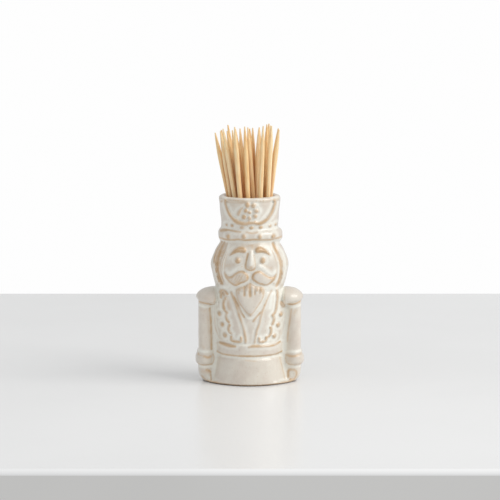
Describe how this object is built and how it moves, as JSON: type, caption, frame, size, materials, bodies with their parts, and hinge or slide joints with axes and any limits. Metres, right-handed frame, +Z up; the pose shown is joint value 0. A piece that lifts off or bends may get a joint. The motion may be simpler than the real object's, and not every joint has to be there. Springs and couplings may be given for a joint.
{
  "type": "toothpick holder",
  "caption": "Glazed ceramic nutcracker soldier whose open hat holds a bundle of loose wooden toothpicks.",
  "frame": {"origin": "middle of the foot, on the table", "axes": "+Z up through the well, the face looks to -Y, +X is the viewer's right"},
  "size_m": [0.0444, 0.0291, 0.1045],
  "materials": {
    "glaze": "glossy reactive glaze, off-white breaking to tan on raised edges",
    "wood": "matte, unfinished, straight grain"
  },
  "bodies": {
    "holder": {"holder": "glaze"},
    "toothpick_01": {"toothpick_01": "wood"},
    "toothpick_02": {"toothpick_02": "wood"},
    "toothpick_03": {"toothpick_03": "wood"},
    "toothpick_04": {"toothpick_04": "wood"},
    "toothpick_05": {"toothpick_05": "wood"},
    "toothpick_06": {"toothpick_06": "wood"},
    "toothpick_07": {"toothpick_07": "wood"},
    "toothpick_08": {"toothpick_08": "wood"},
    "toothpick_09": {"toothpick_09": "wood"},
    "toothpick_10": {"toothpick_10": "wood"},
    "toothpick_11": {"toothpick_11": "wood"},
    "toothpick_12": {"toothpick_12": "wood"},
    "toothpick_13": {"toothpick_13": "wood"},
    "toothpick_14": {"toothpick_14": "wood"},
    "toothpick_15": {"toothpick_15": "wood"},
    "toothpick_16": {"toothpick_16": "wood"},
    "toothpick_17": {"toothpick_17": "wood"},
    "toothpick_18": {"toothpick_18": "wood"},
    "toothpick_19": {"toothpick_19": "wood"},
    "toothpick_20": {"toothpick_20": "wood"},
    "toothpick_21": {"toothpick_21": "wood"},
    "toothpick_22": {"toothpick_22": "wood"},
    "toothpick_23": {"toothpick_23": "wood"},
    "toothpick_24": {"toothpick_24": "wood"}
  },
  "joints": [
    {"name": "toothpick_01_lift", "type": "slide", "parent": "holder", "child": "toothpick_01", "axis": [-0.078, 0, 0.997], "range_m": [0, 0.0425]},
    {"name": "toothpick_02_lift", "type": "slide", "parent": "holder", "child": "toothpick_02", "axis": [-0.046, 0, 0.9989], "range_m": [0, 0.0425]},
    {"name": "toothpick_03_lift", "type": "slide", "parent": "holder", "child": "toothpick_03", "axis": [0.0412, 0, 0.9992], "range_m": [0, 0.0425]},
    {"name": "toothpick_04_lift", "type": "slide", "parent": "holder", "child": "toothpick_04", "axis": [-0.1673, 0, 0.9859], "range_m": [0, 0.0425]},
    {"name": "toothpick_05_lift", "type": "slide", "parent": "holder", "child": "toothpick_05", "axis": [-0.1207, 0, 0.9927], "range_m": [0, 0.0425]},
    {"name": "toothpick_06_lift", "type": "slide", "parent": "holder", "child": "toothpick_06", "axis": [-0.0718, 0, 0.9974], "range_m": [0, 0.0425]},
    {"name": "toothpick_07_lift", "type": "slide", "parent": "holder", "child": "toothpick_07", "axis": [0.0519, 0.0082, 0.9986], "range_m": [0, 0.0425]},
    {"name": "toothpick_08_lift", "type": "slide", "parent": "holder", "child": "toothpick_08", "axis": [-0.1576, 0, 0.9875], "range_m": [0, 0.0425]},
    {"name": "toothpick_09_lift", "type": "slide", "parent": "holder", "child": "toothpick_09", "axis": [-0.1115, 0, 0.9938], "range_m": [0, 0.0425]},
    {"name": "toothpick_10_lift", "type": "slide", "parent": "holder", "child": "toothpick_10", "axis": [0.0275, 0, 0.9996], "range_m": [0, 0.0425]},
    {"name": "toothpick_11_lift", "type": "slide", "parent": "holder", "child": "toothpick_11", "axis": [0.1318, 0.0042, 0.9913], "range_m": [0, 0.0425]},
    {"name": "toothpick_12_lift", "type": "slide", "parent": "holder", "child": "toothpick_12", "axis": [-0.2097, 0, 0.9778], "range_m": [0, 0.0425]},
    {"name": "toothpick_13_lift", "type": "slide", "parent": "holder", "child": "toothpick_13", "axis": [-0.1629, 0.0001, 0.9866], "range_m": [0, 0.0425]},
    {"name": "toothpick_14_lift", "type": "slide", "parent": "holder", "child": "toothpick_14", "axis": [-0.0414, -0.0002, 0.9991], "range_m": [0, 0.0425]},
    {"name": "toothpick_15_lift", "type": "slide", "parent": "holder", "child": "toothpick_15", "axis": [-0.0118, 0.0004, 0.9999], "range_m": [0, 0.0425]},
    {"name": "toothpick_16_lift", "type": "slide", "parent": "holder", "child": "toothpick_16", "axis": [0.029, 0.0015, 0.9996], "range_m": [0, 0.0425]},
    {"name": "toothpick_17_lift", "type": "slide", "parent": "holder", "child": "toothpick_17", "axis": [-0.1556, 0, 0.9878], "range_m": [0, 0.0425]},
    {"name": "toothpick_18_lift", "type": "slide", "parent": "holder", "child": "toothpick_18", "axis": [-0.0621, 0, 0.9981], "range_m": [0, 0.0425]},
    {"name": "toothpick_19_lift", "type": "slide", "parent": "holder", "child": "toothpick_19", "axis": [-0.0099, 0, 1], "range_m": [0, 0.0425]},
    {"name": "toothpick_20_lift", "type": "slide", "parent": "holder", "child": "toothpick_20", "axis": [0.1236, 0.0014, 0.9923], "range_m": [0, 0.0425]},
    {"name": "toothpick_21_lift", "type": "slide", "parent": "holder", "child": "toothpick_21", "axis": [-0.1747, -0.0002, 0.9846], "range_m": [0, 0.0425]},
    {"name": "toothpick_22_lift", "type": "slide", "parent": "holder", "child": "toothpick_22", "axis": [0.0308, -0.0127, 0.9994], "range_m": [0, 0.0425]},
    {"name": "toothpick_23_lift", "type": "slide", "parent": "holder", "child": "toothpick_23", "axis": [-0.1302, -0.0047, 0.9915], "range_m": [0, 0.0425]},
    {"name": "toothpick_24_lift", "type": "slide", "parent": "holder", "child": "toothpick_24", "axis": [0.0808, -0.0092, 0.9967], "range_m": [0, 0.0425]}
  ]
}
